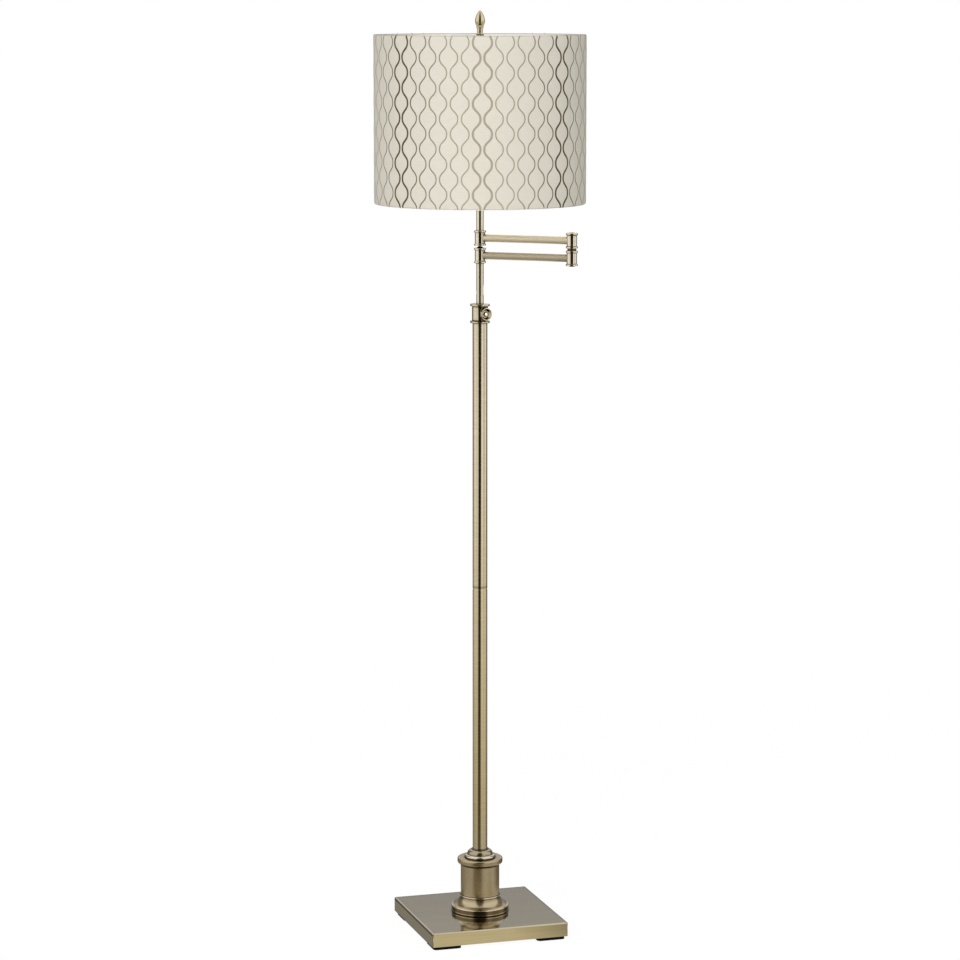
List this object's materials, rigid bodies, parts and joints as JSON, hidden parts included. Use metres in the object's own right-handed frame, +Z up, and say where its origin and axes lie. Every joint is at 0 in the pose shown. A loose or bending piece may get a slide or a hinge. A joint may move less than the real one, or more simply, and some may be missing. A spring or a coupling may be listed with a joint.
{
  "type": "swing arm floor lamp",
  "caption": "Swing arm floor lamp with a square weighted base, turned pedestal, telescoping pole with clamp collar, folding arm and patterned drum shade.",
  "frame": {"origin": "on the floor under the centre of the base and the pole", "axes": "+Z up along the pole, X and Y along the edges of the base; the cord bushing is on the +Y side"},
  "size_m": [0.3556, 0.3556, 1.5763],
  "materials": {
    "antique_brass": "brushed antique brass, lacquered",
    "bright_brass": "polished brass plating",
    "zinc_steel": "zinc plated",
    "cast_weight": "rough cast, black primer",
    "black_rubber": "matte",
    "black_plastic": "moulded, satin",
    "nylon": "natural nylon",
    "insulating_fibre": "pressed fibre",
    "frosted_glass": "frosted",
    "bulb_metal": "rolled thread",
    "shade_fabric": "cream cloth with a taupe ogee wave stitched on it",
    "shade_backing": "white styrene sheet",
    "white_wire": "white paint"
  },
  "bodies": {
    "stand": {"rubber_pads": "black_rubber", "base_cover": "antique_brass", "base_weight": "cast_weight", "bottom_plate": "zinc_steel", "base_screws": "zinc_steel", "cord_bushing": "black_plastic", "tie_pipe": "zinc_steel", "tie_washer": "zinc_steel", "tie_nut": "zinc_steel", "pedestal_foot": "antique_brass", "pedestal_sleeve": "antique_brass", "pedestal_cap": "antique_brass", "pole_dome": "antique_brass", "pole_plug": "zinc_steel", "pole_lower": "antique_brass", "pole_coupling": "antique_brass", "pole_upper": "antique_brass", "clamp_collar": "antique_brass", "guide_bush": "nylon"},
    "screw_tip": {"screw_tip": "nylon"},
    "thumb_screw": {"thumb_stud": "zinc_steel", "thumb_knob": "antique_brass"},
    "mast": {"inner_pole": "antique_brass", "mast_guide": "nylon", "pivot_nipple": "zinc_steel", "pivot_washer": "nylon", "pivot_cap": "antique_brass"},
    "lower_arm": {"lower_knuckle": "antique_brass", "lower_arm_tube": "antique_brass", "elbow_lower_knuckle": "antique_brass", "elbow_nipple": "zinc_steel", "elbow_washer": "antique_brass", "elbow_top_cap": "antique_brass", "elbow_bottom_cap": "antique_brass"},
    "upper_arm": {"elbow_upper_knuckle": "antique_brass", "upper_arm_tube": "antique_brass", "upper_knuckle": "antique_brass", "stem_tube": "antique_brass", "stem_nipple": "zinc_steel", "socket_nipple": "zinc_steel", "harp_saddle": "bright_brass", "harp_ferrules": "bright_brass", "harp": "bright_brass", "socket_cap": "bright_brass", "socket_shell": "bright_brass", "socket_liner": "insulating_fibre", "socket_core": "black_plastic", "screw_shell": "bright_brass", "bulb_glass": "frosted_glass", "bulb_base": "bulb_metal", "shade_spider": "white_wire", "shade_top_wire": "white_wire", "shade_bottom_wire": "white_wire", "shade_liner": "shade_backing", "shade_cover": "shade_fabric", "finial": "antique_brass"},
    "switch": {"switch_knob": "black_plastic"}
  },
  "joints": [
    {"name": "height_slide", "type": "slide", "parent": "stand", "child": "mast", "axis": [0, 0, 1], "range_m": [-0.065, 0.2]},
    {"name": "lower_arm_swing", "type": "hinge", "parent": "mast", "child": "lower_arm", "pos_m": [0, 0, 1.16705], "axis": [0, 0, 1], "range_deg": [-170, 170]},
    {"name": "upper_arm_swing", "type": "hinge", "parent": "lower_arm", "child": "upper_arm", "pos_m": [0.12831, -0.1039, 1.19645], "axis": [0, 0, 1], "range_deg": [-170, 170]},
    {"name": "screw_tip_feed", "type": "slide", "parent": "stand", "child": "screw_tip", "axis": [0.2588, -0.9659, 0], "range_m": [0, 0.002]},
    {"name": "thumb_screw_turn", "type": "hinge", "parent": "screw_tip", "child": "thumb_screw", "pos_m": [0.00353, -0.01319, 1.0691], "axis": [0.2588, -0.9659, 0], "range_deg": [0, 720]},
    {"name": "switch_turn", "type": "hinge", "parent": "upper_arm", "child": "switch", "pos_m": [0, 0, 1.33525], "axis": [0, 1, 0], "continuous": true}
  ],
  "couplings": [
    {"joint": "screw_tip_feed", "follows": "thumb_screw_turn", "m_per_rad": 0.00015915}
  ]
}
